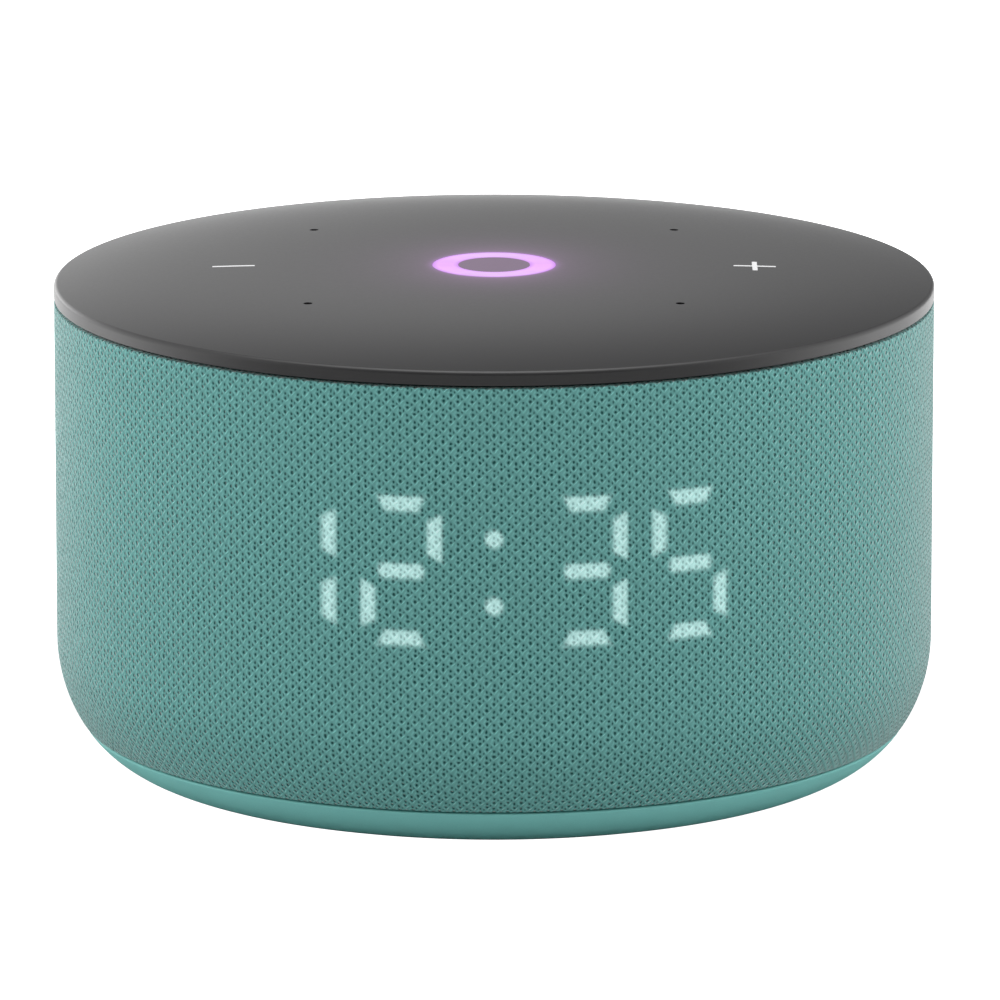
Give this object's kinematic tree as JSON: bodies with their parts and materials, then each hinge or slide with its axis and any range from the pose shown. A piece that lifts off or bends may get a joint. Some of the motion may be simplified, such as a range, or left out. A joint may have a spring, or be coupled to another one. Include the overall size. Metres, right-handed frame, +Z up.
{
  "type": "smart speaker",
  "caption": "Round fabric-covered smart speaker with a touch panel on top, a segment clock display behind the knit, a down-firing driver and side passive radiators.",
  "frame": {"origin": "centre of the round footprint, on the plane the foot ring stands on", "axes": "+Z up through the touch panel; the clock display faces -Y and the sockets face +Y; +X is to the right when looking at the display"},
  "size_m": [0.098, 0.098, 0.056],
  "materials": {
    "panel_plastic": "satin moulded dark grey, soft-touch",
    "ring_lens": "translucent light ring, lit pink",
    "icon_plastic": "translucent pale grey inlay",
    "circuit_board": "green solder-masked laminate",
    "led": "small moulded light-emitting diodes",
    "light_guide": "clear acrylic light guide",
    "metal_can": "tinned steel",
    "black_rubber": "soft black rubber",
    "chip": "moulded black packages",
    "inner_plastic": "plain black moulding",
    "screw_steel": "zinc plated steel",
    "grille_plastic": "dark teal moulding",
    "knit_fabric": "knitted teal polyester",
    "white_plastic": "white reflector plastic",
    "diffuser_film": "white diffusing film",
    "mask_film": "black light mask",
    "base_plastic": "fine-textured teal moulding",
    "foot_rubber": "dark teal rubber",
    "basket_steel": "black painted steel",
    "cone_paper": "black pressed pulp",
    "former_film": "amber polyimide",
    "copper": "enamelled copper winding",
    "spider_cloth": "resin-treated corrugated cloth",
    "pole_steel": "plated soft steel",
    "ferrite": "sintered ferrite",
    "lead_wire": "red insulated wire",
    "radiator_metal": "grey coated plate",
    "antenna_foil": "copper foil",
    "ribbon_film": "amber flexible circuit",
    "socket_metal": "nickel plated shell",
    "jack_plastic": "black moulding",
    "slider_plastic": "signal-coloured knob",
    "port_plastic": "fine-textured teal moulding"
  },
  "bodies": {
    "housing": {"touch_panel": "panel_plastic", "status_ring_lens": "ring_lens", "volume_down_icon": "icon_plastic", "volume_up_icon": "icon_plastic", "touch_board": "circuit_board", "status_leds": "led", "ring_light_guide": "light_guide", "microphones": "metal_can", "mic_gaskets": "black_rubber", "touch_controller": "chip", "top_frame": "inner_plastic", "top_frame_screws": "screw_steel", "grille_shell": "grille_plastic", "fabric_sleeve": "knit_fabric", "display_board": "circuit_board", "display_leds": "led", "display_light_box": "white_plastic", "display_diffuser": "diffuser_film", "display_mask": "mask_film", "base_tray": "base_plastic", "foot_ring": "foot_rubber", "base_screws": "screw_steel", "sound_deflector": "inner_plastic", "enclosure_body": "inner_plastic", "enclosure_gasket": "black_rubber", "enclosure_lid": "inner_plastic", "enclosure_screws": "screw_steel", "driver_basket": "basket_steel", "driver_gasket": "black_rubber", "driver_screws": "screw_steel", "driver_surround": "black_rubber", "driver_spider": "spider_cloth", "driver_top_plate": "pole_steel", "driver_magnet": "ferrite", "driver_yoke": "pole_steel", "driver_leads": "lead_wire", "radiator_frames": "inner_plastic", "radiator_surround_left": "black_rubber", "radiator_surround_right": "black_rubber", "main_board": "circuit_board", "board_screws": "screw_steel", "processor_shield": "metal_can", "board_components": "chip", "wifi_antennas": "antenna_foil", "touch_ribbon": "ribbon_film", "display_ribbon": "ribbon_film", "io_ribbon": "ribbon_film", "io_board": "circuit_board", "usb_c_socket": "socket_metal", "audio_jack": "jack_plastic", "mute_switch_body": "metal_can", "rear_port_plate": "port_plastic"},
    "mute_slider": {"mute_slider": "slider_plastic"},
    "driver_cone_assembly": {"driver_cone": "cone_paper", "dust_cap": "cone_paper", "voice_coil_former": "former_film", "voice_coil_winding": "copper"},
    "radiator_left": {"radiator_plate_left": "radiator_metal"},
    "radiator_right": {"radiator_plate_right": "radiator_metal"}
  },
  "joints": [
    {"name": "mute_slide", "type": "slide", "parent": "housing", "child": "mute_slider", "axis": [1, 0, 0], "range_m": [0, 0.002]},
    {"name": "driver_stroke", "type": "slide", "parent": "housing", "child": "driver_cone_assembly", "axis": [0, 0, 1], "range_m": [-0.002, 0.002], "stiffness_N_per_m": 1400, "deforming": ["driver_surround", "driver_spider"]},
    {"name": "radiator_left_stroke", "type": "slide", "parent": "housing", "child": "radiator_left", "axis": [-1, 0, 0], "range_m": [-0.002, 0.002], "stiffness_N_per_m": 500, "deforming": ["radiator_surround_left"]},
    {"name": "radiator_right_stroke", "type": "slide", "parent": "housing", "child": "radiator_right", "axis": [1, 0, 0], "range_m": [-0.002, 0.002], "stiffness_N_per_m": 500, "deforming": ["radiator_surround_right"]}
  ]
}
